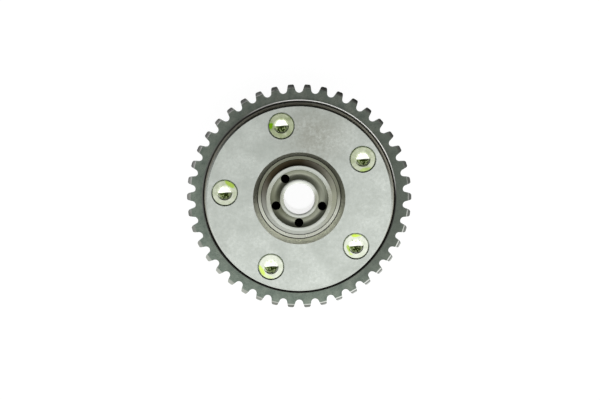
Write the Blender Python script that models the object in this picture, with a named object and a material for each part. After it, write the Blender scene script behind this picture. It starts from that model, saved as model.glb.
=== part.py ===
"""Camshaft phaser: a vane type timing actuator with a chain wheel round its housing.

The phaser lies on its rear plate, with its front face up. The rotor turns inside the
housing about Z, and a locking pin slides in the rotor. Sizes are in millimetres and
degrees. Angles run anticlockwise from +X as seen from the front.
"""

import math

import bmesh
import bpy
from mathutils import Matrix

MM = 0.001

# Chain wheel, cut round the front of the housing. The seats lie a little inside the pitch circle.
CHAIN_PITCH = 8.0
TEETH = 42
SEAT_RADIUS = 1.95
SEAT_INSET = 0.45
TIP_RISE = 1.72
FLANK_ANGLE = 17.5
TIP_CORNER = 0.55
WHEEL_WIDTH = 4.6
TIP_CHAMFER_IN = 1.8
TIP_CHAMFER_DOWN = 0.8
FIRST_GAP_ANGLE = 90.0

# Relief groove between the chain wheel and the front plate
WHEEL_LAND = 3.22
GROOVE_EDGE = 0.55
GROOVE_EDGE_DROP = 0.1
GROOVE_WIDTH = 0.8
GROOVE_DEPTH = 1.6

# Housing with its lobes, and the gap that pieces keep to each other
CLEARANCE = 0.3
HOUSING_HEIGHT = 22.0
HOUSING_WALL = 5.0
EDGE_CHAMFER = 0.6
WHEEL_FILLET = 1.0

# Rotor and vanes
CHAMBERS = 5
HUB_RADIUS = 26.3
TRAVEL = 30.0
VANE_THICKNESS = 3.0
VANE_DEPTH_IN_HUB = 4.6
VANE_TIP_CHAMFER = 0.25
SPRING_ROOM = 1.8
LEAF_THICKNESS = 0.35
LEAF_WIDTH = 2.4
LEAF_END_ROOM = 2.5

# Nose of the rotor, seen in the mouth of the front plate
BORE_RADIUS = 7.5
BORE_CHAMFER = 0.25
COLLAR_WIDTH = 2.0
OIL_GROOVE_WIDTH = 4.6
OIL_GROOVE_DEPTH = 1.6
NOSE_RING_WIDTH = 2.1
NOSE_STANDS_OUT = 1.2
COLLAR_BELOW_RING = 0.2
NOSE_CHAMFER = 0.2

# Oil ways: four holes from the oil groove, the fifth place is left solid
OIL_HOLE_RADIUS = 2.15
OIL_HOLE_PHASE = 0.75
OIL_HOLE_SKIPPED = 0
OIL_PORT_RADIUS = 1.1
FRONT_PORT_ANGLE = -14.0
REAR_PORT_ANGLE = 10.0
PORT_ABOVE_FLOOR = 1.0

# Camshaft side of the rotor
CAMSHAFT_RADIUS = 15.0
PILOT_DEPTH = 7.2
PILOT_FLOOR = 2.5
REAR_HOLE_CLEARANCE = 0.5
DOWEL_RADIUS = 2.0
DOWEL_IN_ROTOR = 5.5
DOWEL_STANDS_OUT = 5.0

# Front plate
FRONT_PLATE_THICKNESS = 6.5
FLANGE_THICKNESS = 0.9
FLANGE_STEP = 0.75
FACE_CHAMFER = 0.9
TROUGH_WIDTH = 2.6
LIP_WIDTH = 1.4
LIP_THICKNESS = 0.4
LIP_FALL = 0.15
FUNNEL_SLOPE_IN = 2.35

# Rear plate
REAR_PLATE_THICKNESS = 8.0

# Cover bolts
FIRST_BOLT_ANGLE = 31.75
BOLT_RADIUS = 4.0
BOLT_HEAD_RADIUS = 6.25
BOLT_HEAD_GAP = 0.35
COUNTERBORE_DEPTH = 4.2
BOLT_HEAD_BELOW_FACE = 0.1
BOLT_HEAD_CHAMFER = 0.4
BOLT_END_ABOVE_REAR = 1.0
BOLT_END_CHAMFER = 0.8
SOCKET_MOUTH_RADIUS = 3.7
SOCKET_MOUTH_DEPTH = 0.3
SOCKET_LAND = 0.1
SOCKET_LOBE_RADIUS = 3.3
SOCKET_WAIST_RADIUS = 2.55
SOCKET_DEPTH = 0.8
SOCKET_CONE_RADIUS = 2.5
SOCKET_CONE_DEPTH = 1.3

# Locking pin with its spring, plug and bush
PIN_RADIUS = 2.9
PIN_LENGTH = 12.0
PIN_INSET = 4.4
PIN_NOSE_CHAMFER = 0.5
PIN_HOLLOW_DEPTH = 7.7
PIN_WALL = 0.85
LOCK_SPRING_WIRE = 0.6
LOCK_SPRING_TURNS = 6
PLUG_THICKNESS = 1.4
PLUG_VENT_RADIUS = 0.8
BUSH_WALL = 1.4
BUSH_HEIGHT = 5.0
BUSH_MOUTH_CHAMFER = 0.5
BUSH_VENT_RADIUS = 1.5

# Facets
RIM_STEPS = 2 * TEETH
HUB_STEPS = 54
BOLT_STEPS = 20
HOLE_STEPS = 12
OVERSHOOT = 1.0

# Heights of the stack, from the rear face up
housing_low = REAR_PLATE_THICKNESS + CLEARANCE
housing_high = housing_low + HOUSING_HEIGHT
plate_low = housing_high + CLEARANCE
plate_face = plate_low + FRONT_PLATE_THICKNESS
nose_top = plate_face + NOSE_STANDS_OUT
pilot_top = housing_low + PILOT_DEPTH
oil_hole_floor = pilot_top + PILOT_FLOOR

# Radii, from the chain wheel inwards
pitch_radius = CHAIN_PITCH / 2 / math.sin(math.pi / TEETH)
seat_circle = pitch_radius - SEAT_INSET
root_radius = seat_circle - SEAT_RADIUS
tip_radius = pitch_radius + TIP_RISE
groove_outer = root_radius - WHEEL_LAND - GROOVE_EDGE
body_radius = groove_outer - GROOVE_WIDTH
chamber_radius = body_radius - HOUSING_WALL
lobe_radius = HUB_RADIUS + CLEARANCE
bolt_circle = (HUB_RADIUS + body_radius) / 2

# Radii of the nose, from the bore outwards
collar_radius = BORE_RADIUS + COLLAR_WIDTH
oil_hole_circle = collar_radius + OIL_GROOVE_WIDTH / 2
ring_inner = collar_radius + OIL_GROOVE_WIDTH
nose_radius = ring_inner + NOSE_RING_WIDTH
dowel_circle = (BORE_RADIUS + CAMSHAFT_RADIUS) / 2
lip_radius = nose_radius + TROUGH_WIDTH
funnel_low_radius = lip_radius + LIP_WIDTH
funnel_radius = funnel_low_radius + FUNNEL_SLOPE_IN

# Vanes: the chambers' walls lie along the vanes at both ends of the travel
chamber_step = 360.0 / CHAMBERS
rotor_rest_angle = FIRST_BOLT_ANGLE + chamber_step / 2 - TRAVEL / 2
vane_inner = HUB_RADIUS - VANE_DEPTH_IN_HUB
vane_outer = chamber_radius - CLEARANCE
slot_floor = vane_inner - SPRING_ROOM

# Locking pin, halfway between two vanes
pin_circle = HUB_RADIUS - PIN_INSET
pin_angle = chamber_step / 2
pin_bore_radius = PIN_RADIUS + CLEARANCE
pin_hollow_radius = PIN_RADIUS - PIN_WALL
plug_low = housing_high - PLUG_THICKNESS


def polar(radius, degrees):
    """Point at a radius and an angle in the plane across the axis."""
    angle = math.radians(degrees)
    return radius * math.cos(angle), radius * math.sin(angle)


def arc(centre, radius, start, end, steps):
    """Points along an arc from one angle to another, both ends included."""
    points = []
    for i in range(steps + 1):
        x, y = polar(radius, start + (end - start) * i / steps)
        points.append((centre[0] + x, centre[1] + y))
    return points


def turned_point(point, degrees):
    """A point of the plane turned about the axis."""
    angle = math.radians(degrees)
    x, y = point
    return x * math.cos(angle) - y * math.sin(angle), x * math.sin(angle) + y * math.cos(angle)


def turned(profile, steps, start=0.0):
    """Solid of revolution round Z from (radius, height) points."""
    bm = bmesh.new()
    verts = [bm.verts.new((r * MM, 0.0, z * MM)) for r, z in profile]
    edges = [bm.edges.new(pair) for pair in zip(verts, verts[1:])]
    if profile[0][0] > 0 or profile[-1][0] > 0:
        edges.append(bm.edges.new((verts[-1], verts[0])))
    bmesh.ops.spin(bm, geom=verts + edges, axis=(0, 0, 1), cent=(0, 0, 0),
                   angle=2 * math.pi, steps=steps, use_merge=True)
    bmesh.ops.remove_doubles(bm, verts=bm.verts, dist=1e-6)
    bmesh.ops.rotate(bm, verts=bm.verts, matrix=Matrix.Rotation(math.radians(start), 3, "Z"))
    bmesh.ops.recalc_face_normals(bm, faces=bm.faces)
    return bm


def prism(outline, low, high):
    """Outline in the plane across the axis, extruded from one height to another."""
    bm = bmesh.new()
    add_prism(bm, outline, low, high)
    return bm


def add_prism(bm, outline, low, high):
    """One more prism in the same mesh, clear of the others."""
    face = bm.faces.new([bm.verts.new((x * MM, y * MM, low * MM)) for x, y in outline])
    grown = bmesh.ops.extrude_face_region(bm, geom=[face])["geom"]
    lifted = [item for item in grown if isinstance(item, bmesh.types.BMVert)]
    bmesh.ops.translate(bm, verts=lifted, vec=(0.0, 0.0, (high - low) * MM))
    bmesh.ops.recalc_face_normals(bm, faces=bm.faces)


def bar(start, end, radius):
    """Round bar between two points, for oil ways that run across the axis."""
    bm = bmesh.new()
    length = math.dist(start, end)
    bmesh.ops.create_cone(bm, cap_ends=True, segments=HOLE_STEPS, radius1=radius * MM,
                          radius2=radius * MM, depth=length * MM)
    heading = math.atan2(end[1] - start[1], end[0] - start[0])
    lay = Matrix.Rotation(heading, 4, "Z") @ Matrix.Rotation(math.pi / 2, 4, "Y")
    middle = [(a + b) / 2 * MM for a, b in zip(start, end)]
    bmesh.ops.transform(bm, verts=bm.verts, matrix=Matrix.Translation(middle) @ lay)
    return bm


def merged(parts):
    """One mesh from several that are clear of each other."""
    whole = bmesh.new()
    for part in parts:
        mesh = bpy.data.meshes.new("shape")
        part.to_mesh(mesh)
        part.free()
        whole.from_mesh(mesh)
        bpy.data.meshes.remove(mesh)
    return whole


def moved(bm, x, y, z=0.0, turn=0.0):
    """Shape turned about its own Z and then moved."""
    place = Matrix.Translation((x * MM, y * MM, z * MM)) @ Matrix.Rotation(math.radians(turn), 4, "Z")
    bmesh.ops.transform(bm, verts=bm.verts, matrix=place)
    return bm


def material(name, colour, roughness, metallic=1.0):
    """Plain metal finish."""
    finish = bpy.data.materials.new(name)
    finish.use_nodes = True
    shader = finish.node_tree.nodes["Principled BSDF"]
    shader.inputs["Base Color"].default_value = (*colour, 1.0)
    shader.inputs["Roughness"].default_value = roughness
    shader.inputs["Metallic"].default_value = metallic
    return finish


def link(obj, parent):
    """Object into the scene, under its empty."""
    bpy.context.scene.collection.objects.link(obj)
    obj.parent = parent
    return obj


def piece(name, bm, finish, parent, smooth_angle=35.0):
    """Named sub-part with its own material."""
    mesh = bpy.data.meshes.new(name)
    bm.to_mesh(mesh)
    bm.free()
    mesh.shade_smooth()
    mesh.set_sharp_from_angle(angle=math.radians(smooth_angle))
    mesh.materials.append(finish)
    return link(bpy.data.objects.new(name, mesh), parent)


def cut(target, name, bm):
    """Take a shape out of a piece and keep the shape as a wire guide."""
    mesh = bpy.data.meshes.new(name)
    bm.to_mesh(mesh)
    bm.free()
    cutter = link(bpy.data.objects.new(name, mesh), target.parent)
    cutter.location = target.location
    cutter.rotation_euler = target.rotation_euler
    cutter.hide_render = True
    cutter.display_type = "WIRE"
    boolean = target.modifiers.new(name, "BOOLEAN")
    boolean.operation = "DIFFERENCE"
    boolean.solver = "EXACT"
    boolean.object = cutter


def axis_empty(name, turn, parent=None):
    """Empty on the axis that carries one moving group."""
    empty = bpy.data.objects.new(name, None)
    bpy.context.scene.collection.objects.link(empty)
    empty.parent = parent
    empty.rotation_euler = (0.0, 0.0, math.radians(turn))
    return empty


def tooth_gap():
    """Outline between two teeth, on +X: round seat, straight flanks, rounded tip corners."""
    slope = math.radians(FLANK_ANGLE)
    side = (-math.sin(slope), math.cos(slope))
    along = (math.cos(slope), math.sin(slope))
    reach = SEAT_RADIUS + TIP_CORNER
    start = (seat_circle + reach * side[0], reach * side[1])
    corner_circle = tip_radius - TIP_CORNER
    lean = start[0] * along[0] + start[1] * along[1]
    size = start[0] ** 2 + start[1] ** 2 - corner_circle ** 2
    run = -lean + math.sqrt(lean ** 2 - size)
    corner = (start[0] + run * along[0], start[1] + run * along[1])
    turn = math.degrees(math.atan2(corner[1], corner[0]))
    upper = arc(corner, TIP_CORNER, FLANK_ANGLE - 90.0, turn, 2)
    upper.append(polar(tip_radius + OVERSHOOT, turn))
    upper.reverse()
    lower = [(x, -y) for x, y in reversed(upper)]
    seat = arc((seat_circle, 0.0), SEAT_RADIUS, 90.0 + FLANK_ANGLE, 270.0 - FLANK_ANGLE, 7)
    return upper + seat + lower


def chamber_outline():
    """Cavity of the housing: five chambers between lobes that reach in to the hub."""
    side_gap = VANE_THICKNESS / 2 + CLEARANCE
    at_wall = TRAVEL / 2 + math.degrees(math.asin(side_gap / chamber_radius))
    at_lobe = TRAVEL / 2 + math.degrees(math.asin(side_gap / lobe_radius))
    points = []
    for i in range(CHAMBERS):
        middle = FIRST_BOLT_ANGLE + chamber_step * (i + 0.5)
        following = middle + chamber_step
        points += arc((0, 0), chamber_radius, middle - at_wall, middle + at_wall, 8)
        points += arc((0, 0), lobe_radius, middle + at_lobe, following - at_lobe, 6)
    return points


def bolt_places():
    """Places of the cover bolts round the axis."""
    return [polar(bolt_circle, FIRST_BOLT_ANGLE + chamber_step * i) for i in range(CHAMBERS)]


def bolt_holes(radius, low, high):
    """Round bars at the bolt places, for through holes."""
    hole = [(0.0, low), (radius, low), (radius, high), (0.0, high)]
    return merged([moved(turned(hole, BOLT_STEPS), x, y) for x, y in bolt_places()])


def make_housing(finish, parent):
    """Housing with the chain wheel: turned blank, teeth, chambers and bolt holes."""
    wheel_low = housing_high - WHEEL_WIDTH
    chamfer_radius = tip_radius - TIP_CHAMFER_IN
    fillet = arc((body_radius + WHEEL_FILLET, wheel_low - WHEEL_FILLET), WHEEL_FILLET, 180.0, 90.0, 3)
    blank = [
        (HUB_RADIUS / 2, housing_low),
        (body_radius - EDGE_CHAMFER, housing_low),
        (body_radius, housing_low + EDGE_CHAMFER),
        *fillet,
        (chamfer_radius, wheel_low),
        (tip_radius, wheel_low + TIP_CHAMFER_DOWN),
        (tip_radius, housing_high - TIP_CHAMFER_DOWN),
        (chamfer_radius, housing_high),
        (groove_outer + GROOVE_EDGE, housing_high),
        (groove_outer, housing_high - GROOVE_EDGE_DROP),
        (groove_outer, housing_high - GROOVE_DEPTH),
        (body_radius, housing_high - GROOVE_DEPTH),
        (body_radius, housing_high),
        (HUB_RADIUS / 2, housing_high),
    ]
    housing = piece("sprocket_housing", turned(blank, RIM_STEPS, FIRST_GAP_ANGLE), finish, parent)
    gaps = bmesh.new()
    for i in range(TEETH):
        turn = FIRST_GAP_ANGLE + 360.0 / TEETH * i
        outline = [turned_point(point, turn) for point in tooth_gap()]
        add_prism(gaps, outline, wheel_low - OVERSHOOT, housing_high + OVERSHOOT)
    cut(housing, "tooth_gaps", gaps)
    cavity = prism(chamber_outline(), housing_low - OVERSHOOT, housing_high + OVERSHOOT)
    cut(housing, "chambers", cavity)
    holes = bolt_holes(BOLT_RADIUS + CLEARANCE, housing_low - OVERSHOOT, housing_high + OVERSHOOT)
    cut(housing, "housing_bolt_holes", holes)


def make_front_plate(finish, parent):
    """Ground cover plate with a stepped rim, a funnel and counterbored bolt holes."""
    rim_radius = body_radius - FLANGE_STEP
    lip_top = plate_low + LIP_THICKNESS
    profile = [
        (lip_radius, plate_low),
        (body_radius, plate_low),
        (body_radius, plate_low + FLANGE_THICKNESS),
        (rim_radius, plate_low + FLANGE_THICKNESS),
        (rim_radius, plate_face - FACE_CHAMFER),
        (rim_radius - FACE_CHAMFER, plate_face),
        (funnel_radius, plate_face),
        (funnel_low_radius, lip_top + LIP_FALL),
        (lip_radius, lip_top),
    ]
    plate = piece("front_plate", turned(profile, RIM_STEPS), finish, parent)
    hole = BOLT_RADIUS + CLEARANCE
    mouth = BOLT_HEAD_RADIUS + BOLT_HEAD_GAP
    seat = plate_face - COUNTERBORE_DEPTH
    stepped = [(0.0, plate_low - OVERSHOOT), (hole, plate_low - OVERSHOOT), (hole, seat),
               (mouth, seat), (mouth, plate_face + OVERSHOOT), (0.0, plate_face + OVERSHOOT)]
    holes = [moved(turned(stepped, BOLT_STEPS), x, y) for x, y in bolt_places()]
    cut(plate, "bolt_counterbores", merged(holes))


def make_rear_plate(finish, parent):
    """Rear plate with threaded bolt holes, a camshaft hole and the seat of the lock bush."""
    hole_radius = CAMSHAFT_RADIUS + REAR_HOLE_CLEARANCE
    profile = [
        (hole_radius + EDGE_CHAMFER, 0.0),
        (body_radius - EDGE_CHAMFER, 0.0),
        (body_radius, EDGE_CHAMFER),
        (body_radius, REAR_PLATE_THICKNESS),
        (hole_radius, REAR_PLATE_THICKNESS),
        (hole_radius, EDGE_CHAMFER),
    ]
    plate = piece("rear_plate", turned(profile, HUB_STEPS), finish, parent)
    holes = bolt_holes(BOLT_RADIUS + CLEARANCE, -OVERSHOOT, REAR_PLATE_THICKNESS + OVERSHOOT)
    cut(plate, "rear_bolt_holes", holes)
    pocket_floor = REAR_PLATE_THICKNESS - BUSH_HEIGHT - CLEARANCE
    pocket_radius = bush_outer_radius() + CLEARANCE
    pocket = [(0.0, -OVERSHOOT), (BUSH_VENT_RADIUS, -OVERSHOOT), (BUSH_VENT_RADIUS, pocket_floor),
              (pocket_radius, pocket_floor), (pocket_radius, REAR_PLATE_THICKNESS + OVERSHOOT),
              (0.0, REAR_PLATE_THICKNESS + OVERSHOOT)]
    x, y = lock_place()
    cut(plate, "lock_bush_seat", moved(turned(pocket, BOLT_STEPS), x, y))


def bush_outer_radius():
    """Outside of the lock bush, from the pin that enters it."""
    return PIN_RADIUS + CLEARANCE + BUSH_WALL


def lock_place():
    """Where the locking pin meets the rear plate with the rotor at rest."""
    return polar(pin_circle, rotor_rest_angle + pin_angle)


def make_lock_bush(finish, parent):
    """Hardened ring that the locking pin drops into, with a chamfered mouth."""
    inner = PIN_RADIUS + CLEARANCE
    low = REAR_PLATE_THICKNESS - BUSH_HEIGHT
    high = REAR_PLATE_THICKNESS
    profile = [
        (inner, low),
        (bush_outer_radius(), low),
        (bush_outer_radius(), high),
        (inner + BUSH_MOUTH_CHAMFER, high),
        (inner, high - BUSH_MOUTH_CHAMFER),
    ]
    bush = piece("lock_bush", turned(profile, BOLT_STEPS), finish, parent)
    x, y = lock_place()
    bush.location = (x * MM, y * MM, 0.0)


def nose_profile():
    """Front of the rotor, from the bore outwards: collar, round groove, ring, hub face."""
    collar_top = nose_top - COLLAR_BELOW_RING
    half = OIL_GROOVE_WIDTH / 2
    sweep = (half ** 2 + OIL_GROOVE_DEPTH ** 2) / (2 * OIL_GROOVE_DEPTH)
    open_angle = math.degrees(math.asin(half / sweep))
    groove_centre = (oil_hole_circle, collar_top - NOSE_CHAMFER - OIL_GROOVE_DEPTH + sweep)
    groove = arc(groove_centre, sweep, 270.0 - open_angle, 270.0 + open_angle, 6)
    return [
        (BORE_RADIUS, collar_top - BORE_CHAMFER),
        (BORE_RADIUS + BORE_CHAMFER, collar_top),
        (collar_radius - NOSE_CHAMFER, collar_top),
        *groove,
        (ring_inner, nose_top - NOSE_CHAMFER),
        (ring_inner + NOSE_CHAMFER, nose_top),
        (nose_radius - NOSE_CHAMFER, nose_top),
        (nose_radius, nose_top - NOSE_CHAMFER),
        (nose_radius, housing_high),
    ]


def make_rotor(finish, parent):
    """Rotor: turned blank, vane slots, oil ways, locking pin bore and dowel hole."""
    blank = [
        (BORE_RADIUS, pilot_top),
        *nose_profile(),
        (HUB_RADIUS, housing_high),
        (HUB_RADIUS, housing_low),
        (CAMSHAFT_RADIUS, housing_low),
        (CAMSHAFT_RADIUS, pilot_top),
    ]
    rotor = piece("rotor", turned(blank, HUB_STEPS), finish, parent)
    half = VANE_THICKNESS / 2 + CLEARANCE
    low, high = housing_low - OVERSHOOT, housing_high + OVERSHOOT
    slots = bmesh.new()
    for i in range(CHAMBERS):
        box = [(slot_floor, -half), (HUB_RADIUS + OVERSHOOT, -half),
               (HUB_RADIUS + OVERSHOOT, half), (slot_floor, half)]
        add_prism(slots, [turned_point(point, chamber_step * i) for point in box], low, high)
    cut(rotor, "vane_slots", slots)
    cut(rotor, "oil_holes", oil_holes())
    cut(rotor, "front_ports", front_ports())
    cut(rotor, "rear_ports", rear_ports())
    bore = [(0.0, low), (pin_bore_radius, low), (pin_bore_radius, high), (0.0, high)]
    x, y = polar(pin_circle, pin_angle)
    cut(rotor, "locking_pin_bore", moved(turned(bore, BOLT_STEPS), x, y))
    hole_radius = DOWEL_RADIUS + CLEARANCE
    hole_top = pilot_top + DOWEL_IN_ROTOR + CLEARANCE
    hole = [(0.0, pilot_top - OVERSHOOT), (hole_radius, pilot_top - OVERSHOOT),
            (hole_radius, hole_top), (0.0, hole_top)]
    x, y = dowel_place()
    cut(rotor, "dowel_hole", moved(turned(hole, HOLE_STEPS), x, y))


def oil_hole_angles():
    """Angles of the oil holes in the rotor, without the place that is left solid."""
    places = [i for i in range(CHAMBERS) if i != OIL_HOLE_SKIPPED]
    return [chamber_step * i + OIL_HOLE_PHASE for i in places]


def oil_holes():
    """Blind holes down from the oil groove."""
    hole = [(0.0, oil_hole_floor), (OIL_HOLE_RADIUS, oil_hole_floor),
            (OIL_HOLE_RADIUS, nose_top), (0.0, nose_top)]
    holes = []
    for angle in oil_hole_angles():
        x, y = polar(oil_hole_circle, angle)
        holes.append(moved(turned(hole, HOLE_STEPS), x, y))
    return merged(holes)


def front_ports():
    """Slanted ports from the oil holes out to one side of the vanes."""
    height = oil_hole_floor + PORT_ABOVE_FLOOR + OIL_PORT_RADIUS
    ports = []
    for angle in oil_hole_angles():
        start = polar(oil_hole_circle, angle)
        end = polar(HUB_RADIUS + OVERSHOOT, angle - OIL_HOLE_PHASE + FRONT_PORT_ANGLE)
        ports.append(bar((*start, height), (*end, height), OIL_PORT_RADIUS))
    return merged(ports)


def rear_ports():
    """Radial ports from the camshaft pilot out to the other side of the vanes."""
    height = pilot_top - PILOT_DEPTH / 2
    ports = []
    for i in range(CHAMBERS):
        angle = chamber_step * i + REAR_PORT_ANGLE
        start = polar(CAMSHAFT_RADIUS - OVERSHOOT, angle)
        end = polar(HUB_RADIUS + OVERSHOOT, angle)
        ports.append(bar((*start, height), (*end, height), OIL_PORT_RADIUS))
    return merged(ports)


def dowel_place():
    """The dowel stands midway across the pilot's floor, at the place without an oil hole."""
    return polar(dowel_circle, chamber_step * OIL_HOLE_SKIPPED + OIL_HOLE_PHASE)


def make_dowel(finish, parent):
    """Round pin with chamfered ends that times the rotor on the camshaft."""
    low = pilot_top - DOWEL_STANDS_OUT
    high = pilot_top + DOWEL_IN_ROTOR
    edge = DOWEL_RADIUS / 4
    profile = [(0.0, low), (DOWEL_RADIUS - edge, low), (DOWEL_RADIUS, low + edge),
               (DOWEL_RADIUS, high - edge), (DOWEL_RADIUS - edge, high), (0.0, high)]
    dowel = piece("camshaft_dowel", turned(profile, HOLE_STEPS), finish, parent)
    x, y = dowel_place()
    dowel.location = (x * MM, y * MM, 0.0)


def make_vanes(vane_finish, spring_finish, parent):
    """Flat blades with crowned tips, each on a bowed leaf spring in its slot."""
    half = VANE_THICKNESS / 2
    edge = VANE_TIP_CHAMFER
    crown = math.degrees(math.asin((half - edge) / vane_outer))
    outline = [
        (vane_inner, -half),
        (vane_outer - 2 * edge, -half),
        *arc((0, 0), vane_outer, -crown, crown, 2),
        (vane_outer - 2 * edge, half),
        (vane_inner, half),
    ]
    for i in range(CHAMBERS):
        vane = piece(f"vane_{i + 1}", prism(outline, housing_low, housing_high), vane_finish, parent)
        vane.rotation_euler = (0.0, 0.0, math.radians(chamber_step * i))
        leaf = piece(f"vane_spring_{i + 1}", leaf_spring(), spring_finish, parent)
        leaf.rotation_euler = (0.0, 0.0, math.radians(chamber_step * i))


def leaf_spring():
    """Bowed strip: its ends lie on the slot's floor and its back presses on the vane."""
    half_length = HOUSING_HEIGHT / 2 - LEAF_END_ROOM
    foot = slot_floor + CLEARANCE
    bow = vane_inner - CLEARANCE - LEAF_THICKNESS - foot
    middle = (housing_low + housing_high) / 2
    steps = 8
    under = []
    for i in range(steps + 1):
        share = 2.0 * i / steps - 1.0
        under.append((foot + bow * (1.0 - share ** 2), half_length * share))
    back = [(x + LEAF_THICKNESS, z) for x, z in reversed(under)]
    bm = prism(under + back, -LEAF_WIDTH / 2, LEAF_WIDTH / 2)
    stand = Matrix.Translation((0.0, 0.0, middle * MM)) @ Matrix.Rotation(math.pi / 2, 4, "X")
    bmesh.ops.transform(bm, verts=bm.verts, matrix=stand)
    return bm


def make_lock(pin_finish, spring_finish, parent):
    """Locking pin, its coil spring and the plug that closes the bore, on the pin's axis."""
    x, y = polar(pin_circle, pin_angle)
    place = (x * MM, y * MM, 0.0)
    low = housing_low
    high = low + PIN_LENGTH
    hollow_floor = high - PIN_HOLLOW_DEPTH
    pin_shape = [
        (0.0, low),
        (PIN_RADIUS - PIN_NOSE_CHAMFER, low),
        (PIN_RADIUS, low + PIN_NOSE_CHAMFER),
        (PIN_RADIUS, high),
        (pin_hollow_radius, high),
        (pin_hollow_radius, hollow_floor),
        (0.0, hollow_floor),
    ]
    pin = piece("locking_pin", turned(pin_shape, BOLT_STEPS), pin_finish, parent)
    pin.location = place
    plug_shape = [(PLUG_VENT_RADIUS, plug_low), (PIN_RADIUS, plug_low),
                  (PIN_RADIUS, housing_high), (PLUG_VENT_RADIUS, housing_high)]
    plug = piece("lock_spring_retainer", turned(plug_shape, BOLT_STEPS), pin_finish, parent)
    plug.location = place
    spring = coil_spring(hollow_floor + CLEARANCE, plug_low - CLEARANCE)
    spring.data.materials.append(spring_finish)
    link(spring, parent).location = place


def coil_spring(low, high):
    """Wire wound in a helix between two heights, as a curve with a round section."""
    wire = LOCK_SPRING_WIRE / 2
    radius = pin_hollow_radius - CLEARANCE - wire
    steps = LOCK_SPRING_TURNS * 8
    curve = bpy.data.curves.new("lock_spring", "CURVE")
    curve.dimensions = "3D"
    curve.bevel_depth = wire * MM
    curve.bevel_resolution = 1
    curve.use_fill_caps = True
    line = curve.splines.new("POLY")
    line.points.add(steps)
    for i in range(steps + 1):
        x, y = polar(radius, 360.0 * LOCK_SPRING_TURNS * i / steps)
        z = low + wire + (high - low - 2 * wire) * i / steps
        line.points[i].co = (x * MM, y * MM, z * MM, 1.0)
    return bpy.data.objects.new("lock_spring", curve)


def socket_outline():
    """Six lobe driver recess."""
    middle = (SOCKET_LOBE_RADIUS + SOCKET_WAIST_RADIUS) / 2
    swing = (SOCKET_LOBE_RADIUS - SOCKET_WAIST_RADIUS) / 2
    count = 36
    points = []
    for i in range(count):
        angle = 360.0 * i / count
        points.append(polar(middle + swing * math.cos(math.radians(6 * angle)), angle))
    return points


def make_bolts(finish, parent):
    """Cover bolts with low round heads flush in the front plate."""
    head_top = plate_face - BOLT_HEAD_BELOW_FACE
    seat = plate_face - COUNTERBORE_DEPTH + CLEARANCE
    end = BOLT_END_ABOVE_REAR
    profile = [
        (0.0, end),
        (BOLT_RADIUS - BOLT_END_CHAMFER, end),
        (BOLT_RADIUS, end + BOLT_END_CHAMFER),
        (BOLT_RADIUS, seat),
        (BOLT_HEAD_RADIUS, seat),
        (BOLT_HEAD_RADIUS, head_top - BOLT_HEAD_CHAMFER),
        (BOLT_HEAD_RADIUS - BOLT_HEAD_CHAMFER, head_top),
        (SOCKET_MOUTH_RADIUS, head_top),
        (SOCKET_LOBE_RADIUS + SOCKET_LAND, head_top - SOCKET_MOUTH_DEPTH),
        (0.0, head_top - SOCKET_MOUTH_DEPTH),
    ]
    for i, (x, y) in enumerate(bolt_places()):
        bolt = piece(f"cover_bolt_{i + 1}", turned(profile, BOLT_STEPS), finish, parent)
        bolt.location = (x * MM, y * MM, 0.0)
        floor = head_top - SOCKET_DEPTH
        cut(bolt, f"socket_{i + 1}", prism(socket_outline(), floor, head_top + OVERSHOOT))
        drill = [(0.0, floor - SOCKET_CONE_DEPTH), (SOCKET_CONE_RADIUS, floor),
                 (SOCKET_CONE_RADIUS, floor + OVERSHOOT), (0.0, floor + OVERSHOOT)]
        cut(bolt, f"drill_point_{i + 1}", turned(drill, BOLT_STEPS))


for old in list(bpy.data.objects):
    bpy.data.objects.remove(old, do_unlink=True)

sintered = material("sintered steel", (0.20, 0.21, 0.20), 0.55)
ground = material("ground steel", (0.62, 0.64, 0.61), 0.35)
machined = material("turned steel", (0.60, 0.59, 0.55), 0.30)
zinc = material("yellow zinc plate", (0.66, 0.68, 0.50), 0.25)
hardened = material("hardened steel", (0.45, 0.45, 0.46), 0.25)
spring_steel = material("spring steel", (0.35, 0.35, 0.36), 0.35)

stator_axis = axis_empty("stator_axis", 0.0)
rotor_axis = axis_empty("rotor_axis", rotor_rest_angle, stator_axis)

make_housing(sintered, stator_axis)
make_front_plate(ground, stator_axis)
make_rear_plate(ground, stator_axis)
make_lock_bush(hardened, stator_axis)
make_bolts(zinc, stator_axis)
make_rotor(machined, rotor_axis)
make_dowel(hardened, rotor_axis)
make_vanes(hardened, spring_steel, rotor_axis)
make_lock(hardened, spring_steel, rotor_axis)
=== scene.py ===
"""Looks of a vane camshaft phaser with a chain wheel round its housing."""

import math

import bpy
from mathutils import Matrix, Vector


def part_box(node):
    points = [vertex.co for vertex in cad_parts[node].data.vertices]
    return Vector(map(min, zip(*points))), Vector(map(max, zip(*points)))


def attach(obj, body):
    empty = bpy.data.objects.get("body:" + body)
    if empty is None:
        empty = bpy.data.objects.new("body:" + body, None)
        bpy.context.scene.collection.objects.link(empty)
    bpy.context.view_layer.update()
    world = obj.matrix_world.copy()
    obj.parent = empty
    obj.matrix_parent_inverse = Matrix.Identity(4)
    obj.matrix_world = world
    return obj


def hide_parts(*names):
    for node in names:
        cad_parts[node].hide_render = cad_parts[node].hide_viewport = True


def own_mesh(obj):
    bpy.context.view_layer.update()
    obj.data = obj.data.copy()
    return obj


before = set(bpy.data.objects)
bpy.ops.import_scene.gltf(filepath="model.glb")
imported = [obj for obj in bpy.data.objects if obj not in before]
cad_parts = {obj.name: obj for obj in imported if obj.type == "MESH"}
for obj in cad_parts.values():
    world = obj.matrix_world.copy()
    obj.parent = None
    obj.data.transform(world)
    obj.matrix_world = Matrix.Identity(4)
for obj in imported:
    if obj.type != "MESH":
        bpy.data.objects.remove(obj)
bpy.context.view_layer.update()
scene = bpy.context.scene
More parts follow.
